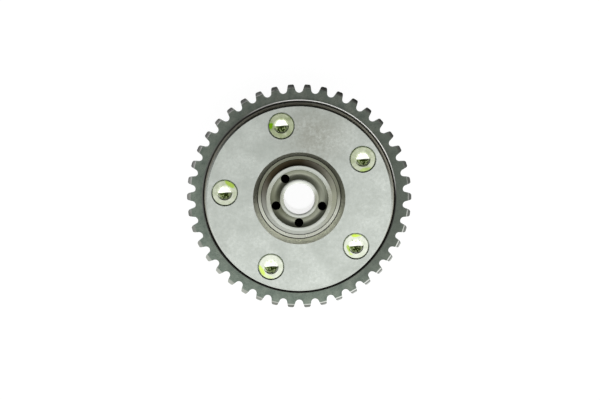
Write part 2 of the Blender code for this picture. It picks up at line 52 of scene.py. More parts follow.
scene.view_settings.view_transform = "Standard"
MM = 0.001

# Camera: in front of the phaser and a little towards its top, as the photo was taken.
# The photo's middle lies slightly right of and below the phaser's axis, level with the
# front of the chain wheel, and a millimetre covers about two pixels there.
wheel_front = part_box("sprocket_housing")[1].z
camera_distance = 0.8
camera_tilt = math.radians(6.2)
pixels_per_metre = 2032.0
photo_width = 600.0
sensor_width = 36.0
aim = Vector((0.4 * MM, -1.5 * MM, wheel_front))
towards_camera = Vector((0.0, math.sin(camera_tilt), math.cos(camera_tilt)))
bpy.ops.object.camera_add(location=aim + towards_camera * camera_distance)
camera = bpy.context.object
camera.rotation_euler = (-camera_tilt, 0.0, 0.0)
camera.data.sensor_width = sensor_width
camera.data.lens = sensor_width * camera_distance * pixels_per_metre / photo_width
scene.camera = camera

# Floor and light: white paper under the phaser, and a soft sky that is bright overhead
# and towards the photo's lower right and dark towards its top. Reflections see the paper
# dark towards the top as well, and the camera sees it white everywhere.
def node(tree, kind, **settings):
    """A node with its settings; a key that names an input sets or links that input."""
    made = tree.nodes.new("ShaderNode" + kind)
    inputs = settings.pop("inputs", {})
    for key, value in settings.items():
        setattr(made, key, value)
    for key, value in inputs.items():
        if isinstance(value, bpy.types.NodeSocket):
            tree.links.new(value, made.inputs[key])
        else:
            made.inputs[key].default_value = value
    return made


def spread(tree, value, low, high, new_low, new_high, curve="LINEAR"):
    """A value stretched from one range to another."""
    return node(tree, "MapRange", interpolation_type=curve,
                inputs={"Value": value, "From Min": low, "From Max": high,
                        "To Min": new_low, "To Max": new_high}).outputs[0]


def for_camera(tree, direct, others):
    """One strength where the camera looks and another for light and reflections."""
    light_path = node(tree, "LightPath")
    return node(tree, "Mix", data_type="FLOAT",
                inputs={"Factor": light_path.outputs["Is Camera Ray"],
                        "A": others, "B": direct}).outputs["Result"]


bpy.ops.mesh.primitive_plane_add(size=6.0, location=(0.0, 0.0, -0.05 * MM))
floor = bpy.context.object
floor.name = "floor"
paper = bpy.data.materials.new("white paper")
paper.use_nodes = True
tree = paper.node_tree
shader = tree.nodes["Principled BSDF"]
shader.inputs["Base Color"].default_value = (0.12, 0.12, 0.12, 1.0)
shader.inputs["Roughness"].default_value = 1.0
shader.inputs["Specular IOR Level"].default_value = 0.0
shader.inputs["Emission Color"].default_value = (1.0, 1.0, 1.0, 1.0)
place = node(tree, "TexCoord").outputs["Object"]
towards_top = node(tree, "SeparateXYZ", inputs={0: place}).outputs["Y"]
fade = spread(tree, towards_top, 0.06, 0.30, 0.85, 0.02, "SMOOTHSTEP")
tree.links.new(for_camera(tree, 0.955, fade), shader.inputs["Emission Strength"])
floor.data.materials.append(paper)

world = bpy.data.worlds.new("soft sky")
scene.world = world
world.use_nodes = True
tree = world.node_tree
sky = tree.nodes["Background"]
sky.inputs["Color"].default_value = (1.0, 1.0, 1.0, 1.0)
direction = node(tree, "TexCoord").outputs["Generated"]
dark_side = (-0.26, 0.97, 0.0)
towards_dark = node(tree, "VectorMath", operation="DOT_PRODUCT",
                    inputs={0: direction, 1: dark_side}).outputs["Value"]
fall = spread(tree, towards_dark, -0.20, 0.14, 1.52, 0.07, "SMOOTHSTEP")
tree.links.new(for_camera(tree, 1.0, fall), sky.inputs["Strength"])


# Housing with the chain wheel: sintered steel, steam treated to a dark green grey. The
# teeth and the five chambers are pressed in one go, and the groove inside the wheel is
# turned afterwards. Its outer edge has a painted highlight towards the upper right.
WHEEL_TEETH = 42
FIRST_BOLT_ANGLE = 31.75
CHAMBERS = 5
chamber_step = 360.0 / CHAMBERS


def lathe(name, profile, steps, filled=False):
    """Turn a piece: a circle extruded and resized through (radius, height) pairs in mm."""
    bpy.ops.object.select_all(action="DESELECT")
    radius, height = profile[0]
    bpy.ops.mesh.primitive_circle_add(
        vertices=steps, radius=radius * MM, location=(0, 0, height * MM),
        fill_type="NGON" if filled else "NOTHING")
    piece = bpy.context.object
    piece.name = name
    bpy.ops.object.transform_apply(location=True, rotation=True, scale=True)
    bpy.ops.object.mode_set(mode="EDIT")
    bpy.ops.mesh.select_all(action="SELECT")
    for next_radius, next_height in profile[1:]:
        grow = next_radius / radius
        bpy.ops.mesh.extrude_region_move(
            TRANSFORM_OT_translate={"value": (0.0, 0.0, (next_height - height) * MM)})
        bpy.ops.transform.resize(value=(grow, grow, 1.0), center_override=(0.0, 0.0, 0.0))
        radius, height = next_radius, next_height
    if not filled:
        bpy.ops.mesh.select_all(action="DESELECT")
        bpy.ops.mesh.select_non_manifold()
        bpy.ops.mesh.bridge_edge_loops()
    bpy.ops.mesh.select_all(action="SELECT")
    bpy.ops.mesh.normals_make_consistent(inside=False)
    bpy.ops.object.mode_set(mode="OBJECT")
    return piece


def cut_out(piece, cutter):
    """Take the cutter's shape out of the piece."""
    bpy.ops.object.select_all(action="DESELECT")
    bpy.context.view_layer.objects.active = piece
    boolean = piece.modifiers.new("cut", "BOOLEAN")
    boolean.operation = "DIFFERENCE"
    boolean.solver = "EXACT"
    boolean.object = cutter
    bpy.ops.object.modifier_apply(modifier=boolean.name)
    bpy.data.objects.remove(cutter, do_unlink=True)


def copies_round(piece, count, first=0.0):
    """The piece and its copies round the axis, joined into one object."""
    bpy.ops.object.select_all(action="DESELECT")
    for i in range(1, count):
        copy = piece.copy()
        copy.data = piece.data.copy()
        copy.data.transform(Matrix.Rotation(math.radians(first + 360.0 * i / count), 4, "Z"))
        scene.collection.objects.link(copy)
        copy.select_set(True)
    piece.data.transform(Matrix.Rotation(math.radians(first), 4, "Z"))
    piece.select_set(True)
    bpy.context.view_layer.objects.active = piece
    bpy.ops.object.join()
    return piece


def ease_edges(piece, width, segments=2, angle=28.0):
    """Small rounds on all sharp edges, and smooth shading led by the large faces."""
    bpy.ops.object.select_all(action="DESELECT")
    piece.select_set(True)
    bpy.context.view_layer.objects.active = piece
    bpy.ops.object.shade_smooth()
    bevel = piece.modifiers.new("ease", "BEVEL")
    bevel.width = width * MM
    bevel.segments = segments
    bevel.limit_method = "ANGLE"
    bevel.angle_limit = math.radians(angle)
    bpy.ops.object.modifier_apply(modifier=bevel.name)
    shading = piece.modifiers.new("shading", "WEIGHTED_NORMAL")
    shading.weight = 100
    bpy.ops.object.modifier_apply(modifier=shading.name)


def pick(piece, test):
    """Select only the vertices of a piece that pass a test, in edit mode."""
    bpy.ops.object.mode_set(mode="OBJECT")
    mesh = piece.data
    for part in (mesh.polygons, mesh.edges):
        part.foreach_set("select", [False] * len(part))
    for vertex in mesh.vertices:
        vertex.select = bool(test(vertex.co))
    bpy.ops.object.mode_set(mode="EDIT")
    bpy.ops.mesh.select_mode(type="VERT")


def fill_and_raise(piece, height):
    """Close the outline that is drawn flat and raise it to a solid."""
    bpy.ops.object.mode_set(mode="EDIT")
    bpy.ops.mesh.select_all(action="SELECT")
    bpy.ops.mesh.edge_face_add()
    bpy.ops.mesh.extrude_region_move(TRANSFORM_OT_translate={"value": (0.0, 0.0, height * MM)})
    bpy.ops.mesh.select_all(action="SELECT")
    bpy.ops.mesh.normals_make_consistent(inside=False)
    bpy.ops.object.mode_set(mode="OBJECT")


def bottom_and_top(node):
    """Heights of a CAD node's ends in millimetres."""
    low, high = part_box(node)
    return low.z / MM, high.z / MM


def radius_of(spot):
    """Distance of a spot from the axis in millimetres."""
    return Vector((spot.x, spot.y)).length / MM


housing_low, housing_high = bottom_and_top("sprocket_housing")
rear_low, rear_high = bottom_and_top("rear_plate")
plate_low, plate_face = bottom_and_top("front_plate")
body_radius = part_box("rear_plate")[1].x / MM
chain_pitch = 8.0
pitch_radius = chain_pitch / 2 / math.sin(math.pi / WHEEL_TEETH)
seat_circle = pitch_radius - 0.45
tip_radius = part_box("sprocket_housing")[1].x / MM
wheel_low = housing_high - 4.6
relief_floor = housing_high - 1.6
groove_radius = body_radius + 0.8
blank_hole = 13.3
overshoot = 1.0
chamfer_start = tip_radius - 1.8
housing = lathe("chain_wheel_housing", [
    (blank_hole, housing_low),
    (body_radius - 0.6, housing_low),
    (body_radius, housing_low + 0.6),
    (body_radius, wheel_low - 1.0),
    (body_radius + 0.134, wheel_low - 0.5),
    (body_radius + 0.5, wheel_low - 0.134),
    (body_radius + 1.0, wheel_low),
    (chamfer_start, wheel_low),
    (tip_radius, wheel_low + 0.8),
    (tip_radius, housing_high - 0.8),
    (chamfer_start, housing_high),
    (groove_radius + 0.5, housing_high),
    (groove_radius, housing_high - 0.02),
    (groove_radius, relief_floor),
    (body_radius, relief_floor),
    (body_radius, housing_high),
    (blank_hole, housing_high),
], 336)


def tooth_gap_cutter():
    """One gap between teeth: half a round for the roller, flanks that open out, flared tips."""
    seat = 1.95
    flank = math.radians(17.5)
    bpy.ops.object.select_all(action="DESELECT")
    bpy.ops.mesh.primitive_circle_add(
        vertices=60, radius=seat * MM,
        location=(seat_circle * MM, 0, (wheel_low - overshoot) * MM))
    gap = bpy.context.object
    bpy.ops.object.transform_apply(location=True, rotation=True, scale=True)
    mouth = (seat_circle - seat * math.sin(flank)) * MM
    pick(gap, lambda co: co.x > mouth)
    bpy.ops.mesh.delete(type="VERT")
    bpy.ops.object.mode_set(mode="OBJECT")
    end_x = max(vertex.co.x for vertex in gap.data.vertices)
    reach, half = end_x / MM, seat * math.cos(flank)
    corner = 0.75
    straight = tip_radius - corner - reach - 0.1
    rounded = [(0.26, 0.10), (0.23, 0.15), (0.16, 0.20), (0.10, 0.26)]
    steps = [(straight, straight * math.tan(flank)), *rounded, (1.2, 0.26)]
    pick(gap, lambda co: co.x > end_x - 1e-7)
    for out, wider in steps:
        bpy.ops.mesh.extrude_region_move(TRANSFORM_OT_translate={"value": (out * MM, 0.0, 0.0)})
        grow = (half + wider) / half
        bpy.ops.transform.resize(value=(1.0, grow, 1.0), center_override=(0.0, 0.0, 0.0))
        half += wider
    fill_and_raise(gap, housing_high - wheel_low + 2 * overshoot)
    return gap


cut_out(housing, copies_round(tooth_gap_cutter(), WHEEL_TEETH, first=90.0))

clearance = 0.3
wall = 5.0
hub_radius = 26.3
lobe_radius = hub_radius + clearance
chamber_radius = body_radius - wall
half_chamber = 18.0
bolt_hole = 4.3
bolt_circle = (hub_radius + body_radius) / 2


def chamber_cutter():
    """The cavity: a round hole to the lobes, opened out to the wall in five places."""
    bpy.ops.object.select_all(action="DESELECT")
    bpy.ops.mesh.primitive_circle_add(
        vertices=360, radius=lobe_radius * MM, location=(0, 0, (housing_low - overshoot) * MM),
        rotation=(0, 0, math.radians(FIRST_BOLT_ANGLE + 0.5)))
    cavity = bpy.context.object
    bpy.ops.object.transform_apply(location=True, rotation=True, scale=True)

    def in_chamber(co):
        turn = math.degrees(math.atan2(co.y, co.x)) - FIRST_BOLT_ANGLE
        return abs(turn % chamber_step - chamber_step / 2) < half_chamber

    pick(cavity, in_chamber)
    grow = chamber_radius / lobe_radius
    bpy.ops.transform.resize(value=(grow, grow, 1.0), center_override=(0.0, 0.0, 0.0))
    fill_and_raise(cavity, housing_high - housing_low + 2 * overshoot)
    return cavity


def bolt_hole_cutter(profile, steps=64):
    """A stepped round hole at each of the five bolt places."""
    hole = lathe("hole", profile, steps, filled=True)
    hole.data.transform(Matrix.Translation((bolt_circle * MM, 0.0, 0.0)))
    return copies_round(hole, CHAMBERS, first=FIRST_BOLT_ANGLE)


cut_out(housing, chamber_cutter())
cut_out(housing, bolt_hole_cutter([(bolt_hole, housing_low - overshoot),
                                   (bolt_hole, housing_high + overshoot)]))
ease_edges(housing, 0.12)


def new_group(name, inputs, outputs):
    """Empty shader node group with its sockets, values first."""
    group = bpy.data.node_groups.new(name, "ShaderNodeTree")
    for label, value in inputs:
        kind = "NodeSocketVector" if value is None else "NodeSocketFloat"
        socket = group.interface.new_socket(label, in_out="INPUT", socket_type=kind)
        if value is not None:
            socket.default_value = value
    for label in outputs:
        group.interface.new_socket(label, in_out="OUTPUT", socket_type="NodeSocketFloat")
    return group


def maths(tree, operation, *values):
    """Result of a sum on numbers and sockets."""
    return node(tree, "Math", operation=operation, inputs=dict(enumerate(values))).outputs[0]


def vectors(tree, operation, *values):
    """Outputs of a sum on vectors and sockets."""
    return node(tree, "VectorMath", operation=operation, inputs=dict(enumerate(values))).outputs


def noise(tree, place, scale, detail=2.0, roughness=0.5):
    """Cloudy noise from 0 to 1."""
    return node(tree, "TexNoise", inputs={"Vector": place, "Scale": scale, "Detail": detail,
                                          "Roughness": roughness}).outputs[0]


def from_axis(tree, place):
    """Distance of a spot from the axis."""
    flat = vectors(tree, "MULTIPLY", place, (1.0, 1.0, 0.0))[0]
    return vectors(tree, "LENGTH", flat)["Value"]


def make_grain_group():
    """Fine grain of bare steel: small scratches in two directions over a soft cloudiness."""
    group = new_group("steel grain", [("Place", None), ("Size", 2500.0), ("Stretch", 8.0)],
                      ["Cloud", "Scratch"])
    into = group.nodes.new("NodeGroupInput").outputs
    out = group.nodes.new("NodeGroupOutput").inputs
    parts = []
    for turn in (20.0, -50.0):
        lay = node(group, "Mapping", inputs={"Vector": into["Place"],
                                             "Rotation": (0.0, 0.0, math.radians(turn))})
        axes = node(group, "SeparateXYZ", inputs={0: lay.outputs[0]}).outputs
        thin = maths(group, "DIVIDE", axes["X"], into["Stretch"])
        joined = node(group, "CombineXYZ", inputs={"X": thin, "Y": axes["Y"], "Z": axes["Z"]})
        parts.append(noise(group, joined.outputs[0], into["Size"], 3.0))
    scratch = maths(group, "MULTIPLY", maths(group, "ADD", *parts), 0.5)
    group.links.new(noise(group, into["Place"], 90.0, 5.0, 0.6), out["Cloud"])
    group.links.new(scratch, out["Scratch"])
    return group


def make_pore_group():
    """Pores of pressed and sintered powder: tiny pits and a grainy tone."""
    group = new_group("sinter pores", [("Place", None), ("Size", 1400.0)], ["Pit", "Tone"])
    into = group.nodes.new("NodeGroupInput").outputs
    out = group.nodes.new("NodeGroupOutput").inputs
    cells = node(group, "TexVoronoi", inputs={"Vector": into["Place"], "Scale": into["Size"]})
    group.links.new(spread(group, cells.outputs["Distance"], 0.05, 0.28, 1.0, 0.0), out["Pit"])
    group.links.new(noise(group, into["Place"], 260.0, 8.0, 0.7), out["Tone"])
    return group


def make_lathe_group():
    """Lathe marks: fine rings round the axis, uneven in depth."""
    group = new_group("lathe marks", [("Place", None), ("Rings", 4200.0)], ["Ring", "Tone"])
    into = group.nodes.new("NodeGroupInput").outputs
    out = group.nodes.new("NodeGroupOutput").inputs
    height = node(group, "SeparateXYZ", inputs={0: into["Place"]}).outputs["Z"]
    along = maths(group, "ADD", from_axis(group, into["Place"]),
                  maths(group, "MULTIPLY", height, 0.83))
    rings = node(group, "TexNoise", noise_dimensions="1D",
                 inputs={"W": along, "Scale": into["Rings"], "Detail": 3.0})
    bands = node(group, "TexNoise", noise_dimensions="1D", inputs={"W": along, "Scale": 900.0})
    group.links.new(rings.outputs[0], out["Ring"])
    group.links.new(bands.outputs[0], out["Tone"])
    return group


def make_side_group():
    """How far a spot lies towards one side of the axis, from -1 to 1, with an uneven border."""
    group = new_group("side of the axis",
                      [("Place", None), ("X", 0.0), ("Y", 1.0), ("Wander", 0.3)], ["Side"])
    into = group.nodes.new("NodeGroupInput").outputs
    out = group.nodes.new("NodeGroupOutput").inputs
    flat = vectors(group, "MULTIPLY", into["Place"], (1.0, 1.0, 0.0))[0]
    heading = node(group, "CombineXYZ", inputs={"X": into["X"], "Y": into["Y"]}).outputs[0]
    side = vectors(group, "DOT_PRODUCT", vectors(group, "NORMALIZE", flat)[0], heading)["Value"]
    centred = maths(group, "SUBTRACT", noise(group, into["Place"], 160.0, 4.0), 0.5)
    uneven = maths(group, "MULTIPLY_ADD", centred, into["Wander"], side)
    group.links.new(uneven, out["Side"])
    return group


steel_grain = make_grain_group()
sinter_pores = make_pore_group()
lathe_marks = make_lathe_group()
axis_side = make_side_group()


def grouped(tree, group, place, **inputs):
    """One of the shared groups placed in a material."""
    made = tree.nodes.new("ShaderNodeGroup")
    made.node_tree = group
    tree.links.new(place, made.inputs["Place"])
    for key, value in inputs.items():
        made.inputs[key].default_value = value
    return made


def new_metal(name, metallic=1.0):
    """Material with its tree, its shader and the piece's own coordinates."""
    metal = bpy.data.materials.new(name)
    metal.use_nodes = True
    tree = metal.node_tree
    shader = tree.nodes["Principled BSDF"]
    shader.inputs["Metallic"].default_value = metallic
    place = tree.nodes.new("ShaderNodeTexCoord").outputs["Object"]
    return metal, tree, shader, place


def blend_colours(tree, factor, first, second):
    """Colour between two others by a mask."""
    mix = node(tree, "Mix", data_type="RGBA", inputs={"Factor": factor})
    for key, colour in ((6, first), (7, second)):
        if isinstance(colour, bpy.types.NodeSocket):
            tree.links.new(colour, mix.inputs[key])
        else:
            mix.inputs[key].default_value = (*colour, 1.0)
    return mix.outputs[2]


def side_mask(tree, place, degrees, low, high, wander=0.3):
    """Mask that grows towards one side of the axis, given as a clock angle from +X."""
    turn = math.radians(degrees)
    side = grouped(tree, axis_side, place, X=math.cos(turn), Y=math.sin(turn), Wander=wander)
    return spread(tree, side.outputs["Side"], low, high, 0.0, 1.0)


def bumped(tree, shader, height, distance, strength=1.0):
    """Relief from a height that is given in millimetres."""
    bump = node(tree, "Bump", inputs={"Height": height, "Distance": distance * MM,
                                      "Strength": strength})
    tree.links.new(bump.outputs[0], shader.inputs["Normal"])


def make_sintered():
    """Steam treated sinter steel: dark green grey, browner in patches, finely pitted, with painted
    light towards the lower left and painted shade towards the right.
    """
    metal, tree, shader, place = new_metal("steam treated sinter", 0.75)
    pores = grouped(tree, sinter_pores, place)
    tone = spread(tree, pores.outputs["Tone"], 0.35, 0.65, 0.0, 1.0)
    # Painted light towards the lower left and painted shade towards the right.
    sinter_shaded_tone = blend_colours(tree, tone, (0.150, 0.180, 0.152), (0.222, 0.242, 0.203))
    sinter_lit_tone = blend_colours(tree, tone, (0.183, 0.228, 0.190), (0.260, 0.304, 0.252))
    body = blend_colours(tree, side_mask(tree, place, -135.0, -0.3, 0.6), sinter_shaded_tone, sinter_lit_tone)
    body = blend_colours(tree, side_mask(tree, place, 0.0, 0.5, 1.0), body, (0.135, 0.158, 0.130))
    pitted = blend_colours(tree, pores.outputs["Pit"], body, (0.08, 0.088, 0.078))
    tree.links.new(pitted, shader.inputs["Base Color"])
    rough = spread(tree, pores.outputs["Tone"], 0.3, 0.7, 0.62, 0.48)
    tree.links.new(rough, shader.inputs["Roughness"])
    bumped(tree, shader, pores.outputs["Tone"], 0.03, 0.6)
    return metal


def make_highlit_edge():
    """Edge that the turning tool laid bare: bright on the side where it cut deepest."""
    # Turned edge: a painted highlight towards the upper right, dark elsewhere and a little lighter
    # towards the upper left.
    metal, tree, shader, place = new_metal("highlit turned edge")
    # Painted highlight towards the upper right, and painted light a little towards the upper left.
    highlit = side_mask(tree, place, 62.0, 0.45, 0.85, 0.15)
    half_lit = side_mask(tree, place, 155.0, 0.6, 1.0, 0.15)
    dark = blend_colours(tree, half_lit, (0.05, 0.05, 0.045), (0.17, 0.175, 0.16))
    tree.links.new(blend_colours(tree, highlit, dark, (1.0, 1.0, 0.97)), shader.inputs["Base Color"])
    shader.inputs["Roughness"].default_value = 0.3
    return metal


def make_turned(name, dark, light, roughness, painted_sides=(), metallic=1.0, bands=()):
    """Turned steel: rings of the tool, with painted light and shade towards the sides that are
    given.

    A band is a ring of another colour towards one side, painted light where it is lighter
    and painted shade where it is darker, given by its radius and half its width in mm.
    """
    metal, tree, shader, place = new_metal(name, metallic)
    marks = grouped(tree, lathe_marks, place)
    grain = grouped(tree, steel_grain, place)
    mask = spread(tree, marks.outputs["Tone"], 0.3, 0.7, 0.0, 1.0)
    colour = blend_colours(tree, mask, dark, light)
    # Painted light and shade towards the given sides.
    for side_colour, degrees, low, high in painted_sides:
        colour = blend_colours(tree, side_mask(tree, place, degrees, low, high), colour, side_colour)
    for band, degrees, radius, half, strength in bands:
        off = maths(tree, "ABSOLUTE", maths(tree, "SUBTRACT", from_axis(tree, place), radius * MM))
        ring = spread(tree, off, half * MM * 0.6, half * MM, strength, 0.0)
        there = maths(tree, "MULTIPLY", ring, side_mask(tree, place, degrees, 0.3, 0.8))
        colour = blend_colours(tree, there, colour, band)
    tree.links.new(colour, shader.inputs["Base Color"])
    rough = spread(tree, grain.outputs["Cloud"], 0.3, 0.7, roughness - 0.05, roughness + 0.07)
    tree.links.new(rough, shader.inputs["Roughness"])
    bumped(tree, shader, marks.outputs["Ring"], 0.006, 0.7)
    return metal


def dress(piece, body, slot, *materials):
    """Give a finished piece its materials and the body it moves with."""
    piece.data.materials.clear()
    for metal in materials:
        piece.data.materials.append(metal)
    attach(piece, body)


def paint_faces(piece, metal, test):
    """Another of its finishes on the faces that pass a test of their middle's place."""
    index = piece.data.materials.find(metal.name)
    for face in piece.data.polygons:
        if test(radius_of(face.center), face.center.z / MM, face):
            face.material_index = index


sintered = make_sintered()
highlit_edge = make_highlit_edge()
# Painted shade: the relief groove is coloured nearly black, a little lighter towards the top.
shaded_groove = make_turned("groove in painted shade", (0.012, 0.012, 0.010), (0.03, 0.028, 0.022), 0.5,
                         [((0.09, 0.09, 0.075), 100.0, 0.0, 0.6)])
# Painted light and shade on the tip chamfers: a painted highlight towards the upper left, lighter
# towards the lower right and lower left, darker towards the right, and a darker and a lighter
# painted ring towards the lower right.
tip_chamfer_light = make_turned("tip chamfer with painted light and shade", (0.15, 0.155, 0.14), (0.24, 0.25, 0.22), 0.34,
                      [((0.88, 0.89, 0.85), 135.0, 0.55, 1.0),
                       ((0.46, 0.475, 0.45), -48.0, 0.75, 0.98),
                       ((0.31, 0.325, 0.29), -135.0, 0.75, 0.98),
                       ((0.09, 0.095, 0.085), 8.0, 0.85, 0.99)],
                      bands=[((0.12, 0.125, 0.115), -50.0, tip_radius - 0.85, 0.42, 0.85),
                             ((0.62, 0.64, 0.60), -50.0, tip_radius - 1.55, 0.3, 0.6)])
dress(housing, "stator", "sintered_steel", sintered, highlit_edge, shaded_groove, tip_chamfer_light)
paint_faces(housing, tip_chamfer_light, lambda radius, height, face:
            radius > chamfer_start and 0.8 < abs(face.normal.z) < 0.97)
paint_faces(housing, shaded_groove, lambda radius, height, face:
            body_radius - 0.05 < radius < groove_radius + 0.05
            and height > relief_floor - 0.15)
paint_faces(housing, highlit_edge, lambda radius, height, face:
            groove_radius + 0.02 < radius < groove_radius + 0.53
            and height > housing_high - 0.32)
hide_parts("sprocket_housing")

# Rear plate: steel disc, ground on both faces, with five bolt holes, the camshaft's hole
# in the middle and a stepped hole that holds the lock bush.
pilot_radius = 15.0
rear = lathe("rear_cover", [
    (pilot_radius + 1.1, rear_low),
    (body_radius - 0.6, rear_low),
    (body_radius, rear_low + 0.6),
    (body_radius, rear_high),
    (pilot_radius + 0.5, rear_high),
    (pilot_radius + 0.5, rear_low + 0.6),
], 288)
cut_out(rear, bolt_hole_cutter([(4.9, rear_low - overshoot), (4.9, rear_low),
                                (bolt_hole, rear_low + 0.6),
                                (bolt_hole, rear_high + overshoot)]))
bush_low, bush_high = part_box("lock_bush")
bush_middle = (bush_low + bush_high) / 2
bush_radius = (bush_high.x - bush_low.x) / 2 / MM + clearance
bush_floor = bush_low.z / MM - clearance
drain_radius = 1.5
bush_seat = lathe("bush_seat", [(drain_radius, rear_low - overshoot), (drain_radius, bush_floor),
                                (bush_radius, bush_floor), (bush_radius, rear_high + overshoot)],
                  64, filled=True)
bush_seat.data.transform(Matrix.Translation((bush_middle.x, bush_middle.y, 0.0)))
cut_out(rear, bush_seat)
ease_edges(rear, 0.12)


def make_ground():
    """Ground steel: light green grey with fine grain, soft clouds and one browner smudge."""
    metal, tree, shader, place = new_metal("ground steel")
    grain = grouped(tree, steel_grain, place, Stretch=5.0)
    cloud = spread(tree, grain.outputs["Cloud"], 0.3, 0.7, 0.0, 1.0)
    base = blend_colours(tree, cloud, (0.475, 0.508, 0.467), (0.685, 0.723, 0.677))
    fine = noise(tree, place, 620.0, 5.0, 0.7)
    speck = spread(tree, fine, 0.35, 0.65, 0.1, 0.6)
    mottled = blend_colours(tree, speck, base, (0.42, 0.455, 0.41))
    smudge_middle = (7.0 * MM, 31.0 * MM, plate_face * MM)
    way = vectors(tree, "DISTANCE", place, smudge_middle)["Value"]
    blotch = noise(tree, place, 110.0, 8.0, 0.65)
    smudge = spread(tree, maths(tree, "MULTIPLY_ADD", blotch, 0.016, way), 0.012, 0.030, 0.72, 0.0)
    dirt = spread(tree, maths(tree, "ADD", blotch, fine), 0.86, 1.12, 0.4, 1.0)
    patch = maths(tree, "MULTIPLY", smudge, dirt)
    colour = blend_colours(tree, patch, mottled, (0.315, 0.315, 0.265))
    tree.links.new(colour, shader.inputs["Base Color"])
    rough = spread(tree, grain.outputs["Scratch"], 0.35, 0.65, 0.27, 0.34)
    tree.links.new(rough, shader.inputs["Roughness"])
    bumped(tree, shader, grain.outputs["Scratch"], 0.005, 0.35)
    return metal


ground = make_ground()
dress(rear, "stator", "ground_steel", ground)
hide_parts("rear_plate")

# Front plate: sintered disc with a ground face. Its rim is stepped down to a narrow
# flange, painted nearly black as shade towards the bottom and lighter elsewhere as painted
# light, and a turned funnel opens round the hub.
rim_radius = body_radius - 0.75
funnel_mouth = 22.55
funnel_foot = 20.6
lip_radius = 20.25
hub_hole = 18.8
head_hole = 6.6
head_floor = plate_face - 4.2
front = lathe("front_cover", [
    (hub_hole, plate_low),
    (body_radius, plate_low),
    (body_radius, plate_low + 0.9),
    (rim_radius, plate_low + 0.9),
    (rim_radius, plate_face - 0.9),
    (rim_radius - 0.9, plate_face),
    (funnel_mouth, plate_face),
    (funnel_foot + 0.05, plate_low + 1.1),
    (funnel_foot, plate_low + 0.3),
    (lip_radius, plate_low + 0.3),
    (lip_radius, plate_low + 0.46),
    (hub_hole, plate_low + 0.4),
], 288)
cut_out(front, bolt_hole_cutter([(bolt_hole, plate_low - overshoot), (bolt_hole, head_floor),
                                 (head_hole, head_floor), (head_hole, plate_face + overshoot)]))
ease_edges(front, 0.1)
# Painted light and shade: the funnel is coloured nearly white and darkened towards the top.
funnel_shade = make_turned("turned funnel with painted shade", (0.90, 0.91, 0.78), (0.98, 0.98, 0.87), 0.26,
                         [((0.22, 0.225, 0.18), 90.0, -0.75, 0.0)], metallic=0.35)
# Painted shade: the lip is darker towards the top.
lip_shade = make_turned("turned lip with painted shade", (0.72, 0.74, 0.64), (0.82, 0.84, 0.74), 0.30,
                      [((0.23, 0.24, 0.175), 90.0, -0.4, 0.15)], metallic=0.6)
# Painted light: the rim's side is lighter towards the top.
rim_side_light = make_turned("rim side with painted light", (0.13, 0.135, 0.115), (0.20, 0.205, 0.175), 0.5,
                       [((0.32, 0.30, 0.21), 75.0, 0.1, 0.7)])
# Painted shade: the flange is coloured nearly black towards the bottom, with painted light
# elsewhere.
flange_shade = make_turned("flange in painted shade", (0.016, 0.016, 0.012), (0.03, 0.03, 0.024), 0.45,
                       [((0.38, 0.37, 0.31), 90.0, -0.6, -0.2)])
# Painted shade: the rim's chamfer is darker towards the top.
chamfer_shade = make_turned("turned chamfer with painted shade", (0.49, 0.525, 0.475), (0.57, 0.605, 0.555), 0.26,
                          [((0.12, 0.12, 0.095), 70.0, 0.1, 0.6)])
# Painted shade: the corner at the funnel's foot is coloured nearly black.
corner_shade = make_turned("corner in painted shade", (0.02, 0.02, 0.016), (0.04, 0.04, 0.03), 0.5)
dress(front, "stator", "ground_steel", ground, funnel_shade, flange_shade, chamfer_shade, lip_shade,
      corner_shade, rim_side_light)
paint_faces(front, funnel_shade, lambda radius, height, face:
            radius < funnel_mouth + 0.15 and height < plate_face - 0.02)
paint_faces(front, flange_shade, lambda radius, height, face:
            radius > rim_radius - 0.2 and height < plate_face - 0.8)
paint_faces(front, chamfer_shade, lambda radius, height, face:
            radius > rim_radius - 0.95 and plate_face - 0.98 < height < plate_face - 0.03)
paint_faces(front, lip_shade, lambda radius, height, face:
            radius < lip_radius + 0.01 and face.normal.z > 0.7)
paint_faces(front, corner_shade, lambda radius, height, face:
            lip_radius - 0.02 < radius < funnel_foot + 0.04
            and plate_low + 0.2 < height < plate_low + 0.95)
paint_faces(front, rim_side_light, lambda radius, height, face:
            radius > rim_radius - 0.02 and abs(face.normal.z) < 0.3)
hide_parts("front_plate")

# Rotor: turned steel. Its hub carries the five vanes between the plates, and its nose
# stands out of the funnel with a collar, a round oil groove and a bright ring.
rotor_rest = FIRST_BOLT_ANGLE + chamber_step / 2 - 15.0
nose_top = bottom_and_top("rotor")[1]
collar_top = nose_top - 0.2
pilot_top = housing_low + 7.2
bore_radius = 7.5
collar_radius = 9.3
nose_radius = 16.2
ring_radius = 14.3
# Ring of the hub face under the lip, painted black as shade.
dark_inner, dark_outer = 18.55, 19.6
groove_middle = 11.8
groove_half = 2.3
groove_depth = 1.25
groove_arc = []
for i in range(13):
    across = i / 6 - 1
    groove_arc.append((groove_middle + groove_half * across,
                       collar_top - 0.2 - groove_depth * (1 - abs(across) ** 1.8)))
rotor = lathe("rotor_body", [
    (bore_radius, pilot_top),
    (bore_radius, collar_top - 0.12),
    (bore_radius + 0.12, collar_top),
    (collar_radius, collar_top),
    *groove_arc,
    (14.1, nose_top - 0.2),
    (ring_radius, nose_top),
    (nose_radius - 0.2, nose_top),
    (nose_radius, nose_top - 0.2),
    (nose_radius, housing_high),
    (dark_inner, housing_high),
    (dark_outer, housing_high),
    (hub_radius, housing_high),
    (hub_radius, housing_low),
    (pilot_radius, housing_low),
    (pilot_radius, pilot_top),
], 240)


